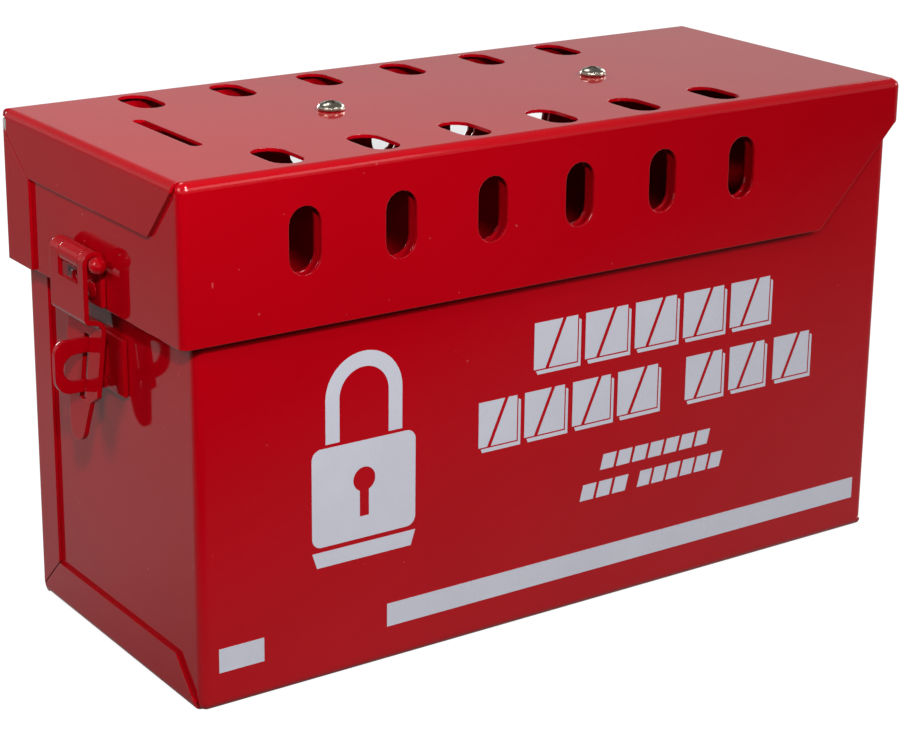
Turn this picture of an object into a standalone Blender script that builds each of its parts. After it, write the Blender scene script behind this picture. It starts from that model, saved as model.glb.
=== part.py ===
"""Steel group lock box: a folded body, a slotted lid hinged at one end and a hasp over a staple at the other.

The origin is the centre of the underside of the body. X runs from the hasp end to the hinge end, the front
faces -Y and Z is up. All lengths are metres. A tray is a flat panel with its walls folded up from it: u runs
along its length from the hasp end, v across it from the front, and w away from the panel.
"""

import math

import bmesh
import bpy
from mathutils import Vector

# sheet and folds, shared by the body and the lid
SHEET = 0.0010
BEND = 0.0026
LAYER_GAP = 0.0001
MITRE_GAP = 0.0003
FIT_GAP = 0.0003
BEND_STEPS = 6
LAP = SHEET + LAYER_GAP

# lid
OVERALL_HEIGHT = 0.1502
LID_LENGTH = 0.2540
LID_DEPTH = 0.1066
LID_SKIRT = 0.0443
LID_END_FLAP = 0.0172
LID_HINGE_FLAP = 0.0120
LID_CHAMFER_TOP = 0.0143
LID_CHAMFER_RUN = 0.0313
LID_MITRE_FOOT = 0.0160
LID_REAR_WING = 0.0177
LID_CORNER_HOLE = 0.0067
CORNER_TAB = 0.0010
CORNER_WING_TOP = 0.0030

# body
LID_OVERHANG_HASP_END = 0.0051
LID_OVERHANG_HINGE_END = 0.0018
LID_OVERHANG_SIDE = 0.00335
BODY_TOP_GAP = 0.0010
BODY_END_FLAP = 0.0135
BODY_MITRE_FOOT = 0.0130
BODY_SHORT_WING = 0.0133
BODY_CORNER_HOLE = 0.0044
WING_END_GAP = 0.0060

# padlock slots and key slot
SLOTS_PER_ROW = 6
SLOT_PITCH = 0.0302
FIRST_SLOT = 0.0381
SLOT_WIDTH = 0.0100
SLOT_LENGTH = 0.0190
SLOT_BELOW_TOP = 0.0200
SLOT_FROM_SIDE = 0.0143
SLOT_END_STEPS = 8
KEY_SLOT_AT = 0.0259
KEY_SLOT_WIDTH = 0.0038
KEY_SLOT_LENGTH = 0.0370

# screws in the lid, with their washers and nuts
SCREW_SPACING = 0.0950
SCREW_BEHIND_MIDDLE = 0.0012
SCREW_HEAD_RADIUS = 0.0040
SCREW_HEAD_HEIGHT = 0.0023
SCREW_HEAD_EDGE = 0.0005
SCREW_RADIUS = 0.0020
SCREW_HOLE_RADIUS = 0.0023
SCREW_TAIL = 0.0008
SCREW_TIP_CHAMFER = 0.0004
CROSS_DEPTH = 0.0014
CROSS_SPAN = 0.0042
CROSS_WIDTH = 0.0010
WASHER_RADIUS = 0.0045
WASHER_THICKNESS = 0.0008
NUT_ACROSS_FLATS = 0.0070
NUT_HEIGHT = 0.0032
DOME_STEPS = 6
ROUND_STEPS = 24
SHARP_FROM_DEG = 35.0

# hinge between the body and the lid, on the outside of the end wall
HINGE_WING_CLEARANCE = 0.00165
HINGE_SHEET = 0.0012
HINGE_PIN_RADIUS = 0.0015
HINGE_PIN_FIT = 0.0003
HINGE_KNUCKLES = 5
HINGE_UNDER_FLAP = 0.0015
HINGE_LID_LEAF_TOP = 0.0034
HINGE_BODY_LEAF_DROP = 0.0235
HINGE_NOTCH = 0.0009
HINGE_JOGGLE = 0.0024
HINGE_FOLD = 0.0010
HINGE_PIN_HEAD_RADIUS = 0.0022
HINGE_PIN_HEAD_HEIGHT = 0.0010
HINGE_RIVETS = 3
HINGE_RIVET_FROM_END = 0.0100
HINGE_LID_RIVET_DROP = 0.0075
HINGE_BODY_RIVET_DROP = 0.0135
HINGE_CURL_DEG = 298.0
RIVET_RADIUS = 0.0014
RIVET_HEAD_RADIUS = 0.0027
RIVET_HEAD_HEIGHT = 0.0010
RIVET_HEAD_EDGE = 0.0002
RIVET_TAIL_RADIUS = 0.0022
RIVET_TAIL_HEIGHT = 0.0008
RIVET_STEPS = 16

# hasp: leaf on the lid, strap and pin
HASP_SHEET = 0.0014
HASP_WIDTH = 0.0208
HASP_PIN_RADIUS = 0.0016
HASP_PIN_FIT = 0.0003
HASP_PIN_BELOW_TOP = 0.0306
HASP_LEAF_BOTTOM = 0.0435
HASP_LEAF_SHOULDER = 0.0037
HASP_MIDDLE_KNUCKLE = 0.0116
HASP_MIDDLE_Y = -0.0010
HASP_WINDOW_BOTTOM = 0.0368
HASP_STEP_TOP = 0.0469
HASP_STEP_BOTTOM = 0.0482
HASP_UPPER_FOLD = 0.0010
HASP_LOWER_FOLD = 0.0023
HASP_TIP = 0.0838
HASP_FLARE_DEG = 6.4
HASP_SHOULDER = 0.0690
HASP_TONGUE_ROOT = 0.0715
HASP_TONGUE_ROOT_WIDTH = 0.0132
HASP_TONGUE_END_WIDTH = 0.0092
HASP_SLOT_TOP = 0.0528
HASP_SLOT_BOTTOM = 0.0714
HASP_SLOT_CLEARANCE = 0.0009
HASP_PIN_HEAD_RADIUS = 0.0025
HASP_PIN_NECK_RADIUS = 0.0014
HASP_PIN_TAIL_RADIUS = 0.0022
HASP_PIN_TAIL_HEIGHT = 0.0010
HASP_CURL_START_DEG = -60.0
HASP_LEAF_CURL_DEG = 250.0
HASP_RIVET_FROM_EDGE = 0.0049
HASP_RIVET_BELOW_TOP = 0.0392
HASP_RIVET_HEAD_HEIGHT = 0.0007
CURL_STEPS = 16
FOLD_STEPS = 4
TIP_STEPS = 8

# staple: base plate and eye on the body's end wall
STAPLE_SHEET = 0.0014
STAPLE_TOP = 0.0535
STAPLE_HEIGHT = 0.0163
STAPLE_WIDER_THAN_HASP = 0.0028
EYE_THICKNESS = 0.0016
EYE_Y = -0.0018
EYE_REACH = 0.0156
EYE_TOP = 0.0538
EYE_HEIGHT = 0.0154
EYE_TOP_CORNER = 0.0038
EYE_BOTTOM_CORNER = 0.0048
EYE_HOLE_HEIGHT = 0.0079
EYE_HOLE_LENGTH = 0.0118
EYE_RIM = 0.0024
EYE_HOLE_BELOW_EYE_TOP = 0.0042
EYE_TENON_HEIGHT = 0.0090
EYE_TENON_FIT = 0.0003
EYE_PEEN = 0.0011
EYE_PEEN_LIP = 0.0012

# where things sit
BODY_LENGTH = LID_LENGTH - LID_OVERHANG_HASP_END - LID_OVERHANG_HINGE_END
BODY_DEPTH = LID_DEPTH - 2 * LID_OVERHANG_SIDE
BODY_HEIGHT = OVERALL_HEIGHT - SHEET - BODY_TOP_GAP
LID_LEFT = -BODY_LENGTH / 2 - LID_OVERHANG_HASP_END
LID_RIGHT = LID_LEFT + LID_LENGTH
LID_FRONT = -LID_DEPTH / 2
LID_WING_FACE = LID_LEFT + LAP
BODY_WING_FACE = -BODY_LENGTH / 2 + LAP
BODY_HINGE_FACE = BODY_LENGTH / 2 - LAP
HASP_ROLL = HASP_PIN_RADIUS + HASP_PIN_FIT + HASP_SHEET / 2
HASP_LEAF_X = LID_WING_FACE - FIT_GAP - HASP_SHEET / 2
HASP_PIN_X = HASP_LEAF_X - HASP_ROLL
HASP_PIN_Z = OVERALL_HEIGHT - HASP_PIN_BELOW_TOP
HINGE_LENGTH = BODY_DEPTH - 2 * (BODY_SHORT_WING + HINGE_WING_CLEARANCE)
HINGE_RIVET_PITCH = (HINGE_LENGTH - 2 * HINGE_RIVET_FROM_END) / (HINGE_RIVETS - 1)
HINGE_ROLL = HINGE_PIN_RADIUS + HINGE_PIN_FIT + HINGE_SHEET / 2
HINGE_X = BODY_HINGE_FACE + FIT_GAP + HINGE_SHEET / 2 + HINGE_ROLL
HINGE_Z = OVERALL_HEIGHT - LID_HINGE_FLAP - HINGE_UNDER_FLAP - HINGE_ROLL - HINGE_SHEET / 2
STAPLE_OUTER_FACE = BODY_WING_FACE - FIT_GAP - STAPLE_SHEET
STAPLE_WIDTH = HASP_WIDTH + STAPLE_WIDER_THAN_HASP
HASP_SLOT_WIDTH = EYE_THICKNESS + 2 * HASP_SLOT_CLEARANCE
EYE_MIDDLE_Z = OVERALL_HEIGHT - EYE_TOP - EYE_HEIGHT / 2
SCREWS_X = [LID_LEFT + LID_LENGTH / 2 + side * SCREW_SPACING / 2 for side in (-1, 1)]
SLOTS_X = [LID_LEFT + FIRST_SLOT + i * SLOT_PITCH for i in range(SLOTS_PER_ROW)]
HINGE_RIVETS_Y = [(i - (HINGE_RIVETS - 1) / 2) * HINGE_RIVET_PITCH for i in range(HINGE_RIVETS)]
HASP_RIVETS_Y = [side * (HASP_WIDTH / 2 - HASP_RIVET_FROM_EDGE) for side in (-1, 1)]

QUARTER = math.pi / 2
HALF = math.pi
FULL = 2 * math.pi
EAST = Vector((1, 0, 0))
NORTH = Vector((0, 1, 0))
UP = Vector((0, 0, 1))


# mesh helpers
def clear_scene():
    for old in list(bpy.data.objects):
        bpy.data.objects.remove(old)


def steps_between(start, end, count):
    return [start + (end - start) * i / count for i in range(count + 1)]


def object_from(name, mesh_data):
    bmesh.ops.recalc_face_normals(mesh_data, faces=mesh_data.faces)
    mesh = bpy.data.meshes.new(name)
    mesh_data.to_mesh(mesh)
    mesh_data.free()
    made = bpy.data.objects.new(name, mesh)
    bpy.context.scene.collection.objects.link(made)
    return made


def add_prism(mesh_data, outline, along, start, end):
    """Extrudes an outline of points from start to end along a unit direction."""
    near = [mesh_data.verts.new(point + along * start) for point in outline]
    far = [mesh_data.verts.new(point + along * end) for point in outline]
    mesh_data.faces.new(near)
    mesh_data.faces.new(list(reversed(far)))
    for i in range(len(outline)):
        mesh_data.faces.new((near[i - 1], far[i - 1], far[i], near[i]))


def prism(name, outline, along, start, end):
    mesh_data = bmesh.new()
    add_prism(mesh_data, outline, along, start, end)
    return object_from(name, mesh_data)


def turned(name, profile, centre, axis, steps):
    """Turns a profile of (radius, distance along the axis); its first and last points lie on the axis."""
    mesh_data = bmesh.new()
    side = axis.orthogonal().normalized()
    other = axis.cross(side)
    rings = []
    for radius, distance in profile[1:-1]:
        angles = steps_between(0, FULL, steps)[:-1]
        spokes = [side * math.cos(angle) + other * math.sin(angle) for angle in angles]
        rings.append([mesh_data.verts.new(centre + axis * distance + spoke * radius) for spoke in spokes])
    first = mesh_data.verts.new(centre + axis * profile[0][1])
    last = mesh_data.verts.new(centre + axis * profile[-1][1])
    for i in range(steps):
        mesh_data.faces.new((first, rings[0][i], rings[0][i - 1]))
        mesh_data.faces.new((last, rings[-1][i - 1], rings[-1][i]))
        for lower, upper in zip(rings, rings[1:]):
            mesh_data.faces.new((lower[i - 1], lower[i], upper[i], upper[i - 1]))
    return object_from(name, mesh_data)


def dome(radius, edge, height, start, way=1):
    """Profile points of a low dome, from its rim to the axis; way is -1 for one that points back."""
    points = []
    for angle in steps_between(0, QUARTER, DOME_STEPS)[:-1]:
        points.append((radius * math.cos(angle), start + way * (edge + (height - edge) * math.sin(angle))))
    return points + [(0, start + way * height)]


def circle(centre, first_way, second_way, radius, steps):
    return [
        centre + first_way * (radius * math.cos(angle)) + second_way * (radius * math.sin(angle))
        for angle in steps_between(0, FULL, steps)[:-1]
    ]


def obround(centre, long_way, short_way, length, width):
    """Outline of a slot with round ends."""
    radius = width / 2
    straight = length / 2 - radius
    points = []
    for end in (1, -1):
        for angle in steps_between(0, HALF, SLOT_END_STEPS):
            across = short_way * (radius * math.cos(angle) * end)
            onward = long_way * ((straight + radius * math.sin(angle)) * end)
            points.append(centre + across + onward)
    return points


def box_outline(low_x, high_x, low_z, high_z):
    corners = ((low_x, low_z), (high_x, low_z), (high_x, high_z), (low_x, high_z))
    return [Vector((x, 0, z)) for x, z in corners]


def curl(centre_x, centre_z, radius, start_deg, end_deg):
    """Points of a roll in the XZ plane; 0 degrees is towards +X and 90 degrees is up."""
    return [
        Vector((centre_x + radius * math.cos(angle), centre_z + radius * math.sin(angle)))
        for angle in steps_between(math.radians(start_deg), math.radians(end_deg), CURL_STEPS)
    ]


def rounded(path, radii):
    """The path of (x, z) points with its corners rounded, each with its own radius."""
    out = [Vector(path[0])]
    for before, corner, after, radius in zip(path, path[1:], path[2:], radii):
        before, corner, after = Vector(before), Vector(corner), Vector(after)
        way_in = (corner - before).normalized()
        way_out = (after - corner).normalized()
        turn = way_in.angle(way_out)
        centre = corner + (way_out - way_in).normalized() * (radius / math.cos(turn / 2))
        back = radius * math.tan(turn / 2)
        first = corner - way_in * back - centre
        last = corner + way_out * back - centre
        out.append(centre + first)
        for share in steps_between(0, 1, FOLD_STEPS)[1:-1]:
            out.append(centre + first.lerp(last, share).normalized() * radius)
        out.append(centre + last)
    out.append(Vector(path[-1]))
    return out


def ribbon(name, path, thickness, half_widths):
    """A bent strip along a middle path of (x, z) points, with its own half width at each point."""
    mesh_data = bmesh.new()
    rows = []
    for i, point in enumerate(path):
        ways = [(b - a).normalized() for a, b in zip(path[max(i - 1, 0):i + 1], path[max(i - 1, 0) + 1:i + 2])]
        middle = (ways[0] + ways[-1]).normalized()
        normal = Vector((-middle.y, middle.x)) * (thickness / 2 / middle.dot(ways[0]))
        row = []
        for sign, across in ((1, -1), (1, 1), (-1, 1), (-1, -1)):
            spot = point + normal * sign
            row.append(mesh_data.verts.new((spot.x, across * half_widths[i], spot.y)))
        rows.append(row)
    for row, after in zip(rows, rows[1:]):
        for i in range(4):
            mesh_data.faces.new((row[i - 1], row[i], after[i], after[i - 1]))
    mesh_data.faces.new(rows[0])
    mesh_data.faces.new(list(reversed(rows[-1])))
    return object_from(name, mesh_data)


def cut(target, cutter):
    cutter.hide_render = True
    cutter.display_type = "WIRE"
    modifier = target.modifiers.new("cut_" + cutter.name, "BOOLEAN")
    modifier.operation = "DIFFERENCE"
    modifier.solver = "EXACT"
    modifier.object = cutter


def settle(made):
    """Makes the cuts final, then shades bends and rolls smooth and leaves cut edges sharp."""
    bpy.context.view_layer.update()
    graph = bpy.context.evaluated_depsgraph_get()
    mesh = bpy.data.meshes.new_from_object(made.evaluated_get(graph))
    made.modifiers.clear()
    made.data = mesh
    mesh.shade_smooth()
    mesh.set_sharp_from_angle(angle=math.radians(SHARP_FROM_DEG))


def paint(made, colour, roughness, metallic):
    material = bpy.data.materials.new(made.name + "_finish")
    material.use_nodes = True
    shader = material.node_tree.nodes["Principled BSDF"]
    shader.inputs["Base Color"].default_value = colour
    shader.inputs["Roughness"].default_value = roughness
    shader.inputs["Metallic"].default_value = metallic
    made.data.materials.clear()
    made.data.materials.append(material)


def red_paint(made):
    paint(made, (0.47, 0.003, 0.008, 1.0), 0.22, 0.0)


def bright_steel(made):
    paint(made, (0.62, 0.61, 0.58, 1.0), 0.2, 1.0)


# folded trays
class Tray:
    """A flat panel with walls folded from its edges, kept as faces of (outer point, outward direction) pairs.

    Points are (u, v, w): u runs along the length from the hasp end, v across it from the front, and w away
    from the panel's outer face.
    """

    def __init__(self, length, depth, place):
        self.length = length
        self.depth = depth
        self.place = place
        self.faces = []

    def flat(self, points, out):
        self.faces.append([(Vector(point), Vector(out)) for point in points])

    def strip(self, first, second):
        for i in range(len(first) - 1):
            self.faces.append([first[i], first[i + 1], second[i + 1], second[i]])

    def solid(self, name):
        """Joins the faces and gives the sheet its thickness on the inside."""
        mesh_data = bmesh.new()
        pairs = {}
        edges = {}
        for corners in self.faces:
            keys = []
            for point, out in corners:
                key = tuple(round(value / (SHEET / 1000)) for value in point)
                if key not in pairs:
                    inner = point - out * SHEET
                    pairs[key] = tuple(mesh_data.verts.new(self.place(*spot)) for spot in (point, inner))
                if key not in keys:
                    keys.append(key)
            if len(keys) < 3:
                continue
            mesh_data.faces.new([pairs[key][0] for key in keys])
            mesh_data.faces.new([pairs[key][1] for key in reversed(keys)])
            for i, key in enumerate(keys):
                edges.setdefault(frozenset((keys[i - 1], key)), []).append((keys[i - 1], key))
        for uses in edges.values():
            if len(uses) == 1:
                first, second = uses[0]
                mesh_data.faces.new((pairs[second][0], pairs[first][0], pairs[first][1], pairs[second][1]))
        return object_from(name, mesh_data)


class End:
    """One end of a tray in its own (a, b, w): a runs in from the end face and b across the end."""

    def __init__(self, tray, far, turned_round):
        self.tray = tray
        self.far = far
        self.turned_round = turned_round

    def point(self, a, b, w):
        u = self.tray.length - a if self.far else a
        v = self.tray.depth - b if self.turned_round else b
        return Vector((u, v, w))

    def way(self, a, b, w):
        return Vector((-a if self.far else a, -b if self.turned_round else b, w))

    def pair(self, centre, out):
        return self.point(*(centre + out * BEND)), self.way(*out)

    def flat(self, points, out):
        self.tray.flat([self.point(*point) for point in points], self.way(*out))

    def other_hand(self):
        return End(self.tray, self.far, not self.turned_round)


def ball_corner(end, a):
    """The pressed corner between the panel, the long wall and the upright fold centred at a."""
    rings = []
    for tilt in steps_between(0, QUARTER, BEND_STEPS):
        ring = []
        for turn in steps_between(0, QUARTER, BEND_STEPS):
            lean = math.sin(tilt)
            out = Vector((-lean * math.sin(turn), -lean * math.cos(turn), -math.cos(tilt)))
            ring.append(end.pair(Vector((a, BEND, BEND)), out))
        rings.append(ring)
    for upper, lower in zip(rings, rings[1:]):
        end.tray.strip(upper, lower)


def upright_fold(end, a, tops, bottoms):
    """The fold from a long wall round to its wing, with its top and bottom heights at both sides."""
    top, bottom = [], []
    for share in steps_between(0, 1, BEND_STEPS):
        out = Vector((-math.sin(QUARTER * share), -math.cos(QUARTER * share), 0))
        top.append(end.pair(Vector((a, BEND, tops[0] + (tops[1] - tops[0]) * share)), out))
        bottom.append(end.pair(Vector((a, BEND, bottoms[0] + (bottoms[1] - bottoms[0]) * share)), out))
    end.tray.strip(top, bottom)


def end_flap(end, outline):
    """A flap folded from the panel; its outline of (b, w) starts and ends at the fold."""
    near, far = [], []
    for angle in steps_between(0, QUARTER, BEND_STEPS):
        out = Vector((-math.sin(angle), 0, -math.cos(angle)))
        near.append(end.pair(Vector((BEND, outline[0][0], BEND)), out))
        far.append(end.pair(Vector((BEND, outline[-1][0], BEND)), out))
    end.tray.strip(near, far)
    end.flat([(0, b, w) for b, w in outline], (-1, 0, 0))


def lapped_end(end, wall, flap, mitre_foot, short_wing, corner_hole):
    """An end with a long wing inside and, over it, a mitred flap beside a short wing.

    It returns (a, b) points of the panel's edge, then (a, w) points of the edges of the walls at b = 0 and at
    b = depth.
    """
    depth = end.tray.depth
    corner = LAP + BEND
    wing_end = depth - WING_END_GAP
    ball_corner(end, corner)
    upright_fold(end, corner, (BEND, BEND), (wall, wall))
    end.flat([(LAP, BEND, BEND), (LAP, wing_end, BEND), (LAP, wing_end, wall), (LAP, BEND, wall)], (-1, 0, 0))

    flap_start = BEND + MITRE_GAP
    flap_end = depth - BEND - 2 * MITRE_GAP
    rear = depth - BEND
    foot = depth - short_wing
    knee = rear - SHEET
    end_flap(
        end,
        [
            (flap_start, BEND),
            (mitre_foot, flap),
            (foot - MITRE_GAP, flap),
            (knee - MITRE_GAP, corner_hole - MITRE_GAP),
            (flap_end, BEND),
        ],
    )
    upright_fold(end.other_hand(), BEND, (CORNER_WING_TOP, CORNER_WING_TOP), (wall, wall))
    wing = [(rear, CORNER_WING_TOP), (knee, corner_hole), (foot, flap + MITRE_GAP)]
    wing += [(foot, wall), (rear, wall)]
    end.flat([(0, b, w) for b, w in wing], (-1, 0, 0))

    panel = [(corner, BEND), (BEND, flap_start), (BEND, flap_end), (CORNER_TAB, rear)]
    front = [(corner, BEND), (corner, wall)]
    return panel, front, [(CORNER_TAB, BEND), (BEND, CORNER_WING_TOP), (BEND, wall)]


def low_end(end, flap, wall_side):
    """A low end whose flap and two small wings lie in one plane and meet at mitres."""
    depth = end.tray.depth
    for hand in (end, end.other_hand()):
        ball_corner(hand, BEND)
        upright_fold(hand, BEND, (BEND, BEND), (wall_side, flap))
        hand.flat([(0, BEND, BEND), (0, flap, flap), (0, BEND, flap)], (-1, 0, 0))
    start = BEND + MITRE_GAP
    foot = flap + MITRE_GAP
    end_flap(end, [(start, BEND), (foot, flap), (depth - foot, flap), (depth - start, BEND)])
    panel = [(BEND, BEND), (BEND, start), (BEND, depth - start), (BEND, depth - BEND)]
    side = [(BEND, BEND), (BEND, wall_side)]
    return panel, side, list(side)


def turned_edges(edges, depth):
    """The edges of an end that was made the other way round."""
    panel, front, back = edges
    return [(a, depth - b) for a, b in reversed(panel)], back, front


def panel_and_walls(tray, near_edges, far_edges, extra):
    """The panel, its two long folds and the long walls.

    extra lists (u, w) points of each wall's far lower corner.
    """
    length, depth = tray.length, tray.depth
    panel = [(a, b, 0) for a, b in near_edges[0]] + [(length - a, b, 0) for a, b in reversed(far_edges[0])]
    tray.flat(panel, (0, 0, -1))
    for side, near, far in ((-1, near_edges[1], far_edges[1]), (1, near_edges[2], far_edges[2])):
        middle = BEND if side < 0 else depth - BEND
        near_fold, far_fold = [], []
        for angle in steps_between(0, QUARTER, BEND_STEPS):
            out = Vector((0, side * math.sin(angle), -math.cos(angle)))
            near_fold.append((Vector((near[0][0], middle, BEND)) + out * BEND, out))
            far_fold.append((Vector((length - far[0][0], middle, BEND)) + out * BEND, out))
        tray.strip(near_fold, far_fold)
        outline = near + extra + [(length - a, w) for a, w in reversed(far)]
        tray.flat([(u, middle + side * BEND, w) for u, w in outline], (0, side, 0))


def lid_place(u, v, w):
    return Vector((LID_LEFT + u, LID_FRONT + v, OVERALL_HEIGHT - w))


def body_place(u, v, w):
    return Vector((u - BODY_LENGTH / 2, v - BODY_DEPTH / 2, w))


# the lid
def lid_top_cutter():
    """Two rows of slots, the key slot and the screw holes, through the top."""
    mesh_data = bmesh.new()
    row = LID_DEPTH / 2 - SLOT_FROM_SIDE
    outlines = []
    for x in SLOTS_X:
        for y in (-row, row):
            outlines.append(obround(Vector((x, y, OVERALL_HEIGHT)), NORTH, EAST, SLOT_LENGTH, SLOT_WIDTH))
    key_slot = Vector((LID_LEFT + KEY_SLOT_AT, 0, OVERALL_HEIGHT))
    outlines.append(obround(key_slot, NORTH, EAST, KEY_SLOT_LENGTH, KEY_SLOT_WIDTH))
    for x in SCREWS_X:
        hole = Vector((x, SCREW_BEHIND_MIDDLE, OVERALL_HEIGHT))
        outlines.append(circle(hole, EAST, NORTH, SCREW_HOLE_RADIUS, ROUND_STEPS))
    for outline in outlines:
        add_prism(mesh_data, outline, UP, -2 * SHEET, SHEET)
    return object_from("lid_top_cutter", mesh_data)


def side_slot_cutter():
    """Upright slots through the long walls of the lid and of the body behind them."""
    mesh_data = bmesh.new()
    reach = LID_OVERHANG_SIDE + SHEET
    for side in (-1, 1):
        for x in SLOTS_X:
            centre = Vector((x, side * (LID_DEPTH / 2 - reach / 2), OVERALL_HEIGHT - SLOT_BELOW_TOP))
            add_prism(mesh_data, obround(centre, UP, EAST, SLOT_LENGTH, SLOT_WIDTH), NORTH, -reach, reach)
    return object_from("side_slot_cutter", mesh_data)


def wall_holes(name, x, z, rows):
    """Rivet holes through sheet that faces along X."""
    mesh_data = bmesh.new()
    radius = RIVET_RADIUS + FIT_GAP
    reach = 2 * SHEET + FIT_GAP
    for y in rows:
        add_prism(mesh_data, circle(Vector((x, y, z)), NORTH, UP, radius, RIVET_STEPS), EAST, -reach, reach)
    return object_from(name, mesh_data)


def make_lid(side_slots, hinge_holes, hasp_holes):
    tray = Tray(LID_LENGTH, LID_DEPTH, lid_place)
    near = lapped_end(
        End(tray, False, False), LID_SKIRT, LID_END_FLAP, LID_MITRE_FOOT, LID_REAR_WING, LID_CORNER_HOLE
    )
    far = low_end(End(tray, True, False), LID_HINGE_FLAP, LID_CHAMFER_TOP)
    panel_and_walls(tray, near, far, [(LID_LENGTH - LID_CHAMFER_RUN, LID_SKIRT)])
    lid = tray.solid("lid_shell")
    for cutter in (lid_top_cutter(), side_slots, hinge_holes, hasp_holes):
        cut(lid, cutter)
    return lid


# the body
def tenon_cutter():
    """The slot that the staple's tenon passes through, in the base plate and in the body's end wall."""
    half_y = EYE_THICKNESS / 2 + EYE_TENON_FIT
    half_z = EYE_TENON_HEIGHT / 2 + EYE_TENON_FIT
    outline = box_outline(
        STAPLE_OUTER_FACE - SHEET, BODY_WING_FACE + 2 * SHEET, EYE_MIDDLE_Z - half_z, EYE_MIDDLE_Z + half_z
    )
    return prism("tenon_cutter", outline, NORTH, EYE_Y - half_y, EYE_Y + half_y)


def make_body(side_slots, hinge_holes, tenon_slot):
    tray = Tray(BODY_LENGTH, BODY_DEPTH, body_place)
    sizes = (BODY_HEIGHT, BODY_END_FLAP, BODY_MITRE_FOOT, BODY_SHORT_WING, BODY_CORNER_HOLE)
    near = lapped_end(End(tray, False, False), *sizes)
    far = turned_edges(lapped_end(End(tray, True, True), *sizes), BODY_DEPTH)
    panel_and_walls(tray, near, far, [])
    body = tray.solid("body_shell")
    for cutter in (side_slots, hinge_holes, tenon_slot):
        cut(body, cutter)
    return body


# the end hinge
def knuckle_edges():
    size = HINGE_LENGTH / HINGE_KNUCKLES
    return [-HINGE_LENGTH / 2 + i * size for i in range(HINGE_KNUCKLES + 1)]


def cut_knuckles(leaf, removed, low_z, high_z):
    """Takes the other leaf's knuckles out of this one."""
    edges = knuckle_edges()
    reach = HINGE_ROLL + HINGE_SHEET
    for i in removed:
        start = edges[i] - (HINGE_SHEET if i == 0 else FIT_GAP / 2)
        end = edges[i + 1] + (HINGE_SHEET if i == HINGE_KNUCKLES - 1 else FIT_GAP / 2)
        outline = box_outline(HINGE_X - reach, HINGE_X + reach, low_z, high_z)
        cut(leaf, prism(f"{leaf.name}_notch_{i + 1}", outline, NORTH, start, end))


def make_hinge_lid_leaf(holes):
    plate_x = LID_RIGHT + FIT_GAP + HINGE_SHEET / 2
    roll_x = HINGE_X + HINGE_ROLL
    joggle_top = HINGE_Z + HINGE_ROLL + HINGE_JOGGLE
    joggle = [
        (plate_x, OVERALL_HEIGHT - HINGE_LID_LEAF_TOP),
        (plate_x, joggle_top),
        (roll_x, joggle_top - HINGE_JOGGLE),
        (roll_x, HINGE_Z),
    ]
    path = rounded(joggle, (HINGE_FOLD, HINGE_FOLD))[:-1]
    path += curl(HINGE_X, HINGE_Z, HINGE_ROLL, 0, -HINGE_CURL_DEG)
    leaf = ribbon("hinge_lid_leaf", path, HINGE_SHEET, [HINGE_LENGTH / 2] * len(path))
    outer_roll = HINGE_ROLL + HINGE_SHEET / 2
    cut_knuckles(leaf, range(0, HINGE_KNUCKLES, 2), HINGE_Z - 2 * outer_roll, HINGE_Z + outer_roll + FIT_GAP)
    cut(leaf, holes)
    return leaf


def make_hinge_body_leaf(holes):
    plate_x = HINGE_X - HINGE_ROLL
    path = [Vector((plate_x, HINGE_Z - HINGE_BODY_LEAF_DROP))]
    path += curl(HINGE_X, HINGE_Z, HINGE_ROLL, 180, 180 - HINGE_CURL_DEG)
    leaf = ribbon("hinge_body_leaf", path, HINGE_SHEET, [HINGE_LENGTH / 2] * len(path))
    outer_roll = HINGE_ROLL + HINGE_SHEET / 2
    low_z = HINGE_Z - outer_roll - HINGE_NOTCH
    cut_knuckles(leaf, range(1, HINGE_KNUCKLES, 2), low_z, HINGE_Z + 2 * outer_roll)
    cut(leaf, holes)
    return leaf


def make_hinge_pin():
    end = HINGE_LENGTH / 2 + FIT_GAP
    head = HINGE_PIN_HEAD_RADIUS
    back = list(reversed(dome(head, 0, HINGE_PIN_HEAD_HEIGHT, -end, -1)))
    shaft = [(HINGE_PIN_RADIUS, -end), (HINGE_PIN_RADIUS, end)]
    profile = back + shaft + dome(head, 0, HINGE_PIN_HEAD_HEIGHT, end)
    return turned("hinge_pin", profile, Vector((HINGE_X, 0, HINGE_Z)), NORTH, ROUND_STEPS)


def make_rivet(name, place, out, grip, head_height):
    """A rivet whose head sits at place, pointing out; its tail is formed behind sheets of the grip's depth."""
    head = dome(RIVET_HEAD_RADIUS, RIVET_HEAD_EDGE, head_height, 0)
    back = -grip
    tail_end = back - RIVET_TAIL_HEIGHT
    profile = [(0, tail_end), (RIVET_TAIL_RADIUS, tail_end), (RIVET_TAIL_RADIUS, back)]
    profile += [(RIVET_RADIUS, back), (RIVET_RADIUS, 0), (RIVET_HEAD_RADIUS, 0)] + head
    return turned(name, profile, place, out, RIVET_STEPS)


def make_hinge_rivets():
    grip = SHEET + HINGE_SHEET + 3 * FIT_GAP
    rows = (
        ("hinge_body_rivet", BODY_HINGE_FACE, HINGE_Z - HINGE_BODY_RIVET_DROP),
        ("hinge_lid_rivet", LID_RIGHT, OVERALL_HEIGHT - HINGE_LID_RIVET_DROP),
    )
    made = []
    for name, face, z in rows:
        for i, y in enumerate(HINGE_RIVETS_Y):
            place = Vector((face + HINGE_SHEET + 2 * FIT_GAP, y, z))
            made.append(make_rivet(f"{name}_{i + 1}", place, EAST, grip, RIVET_HEAD_HEIGHT))
    return made


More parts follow.
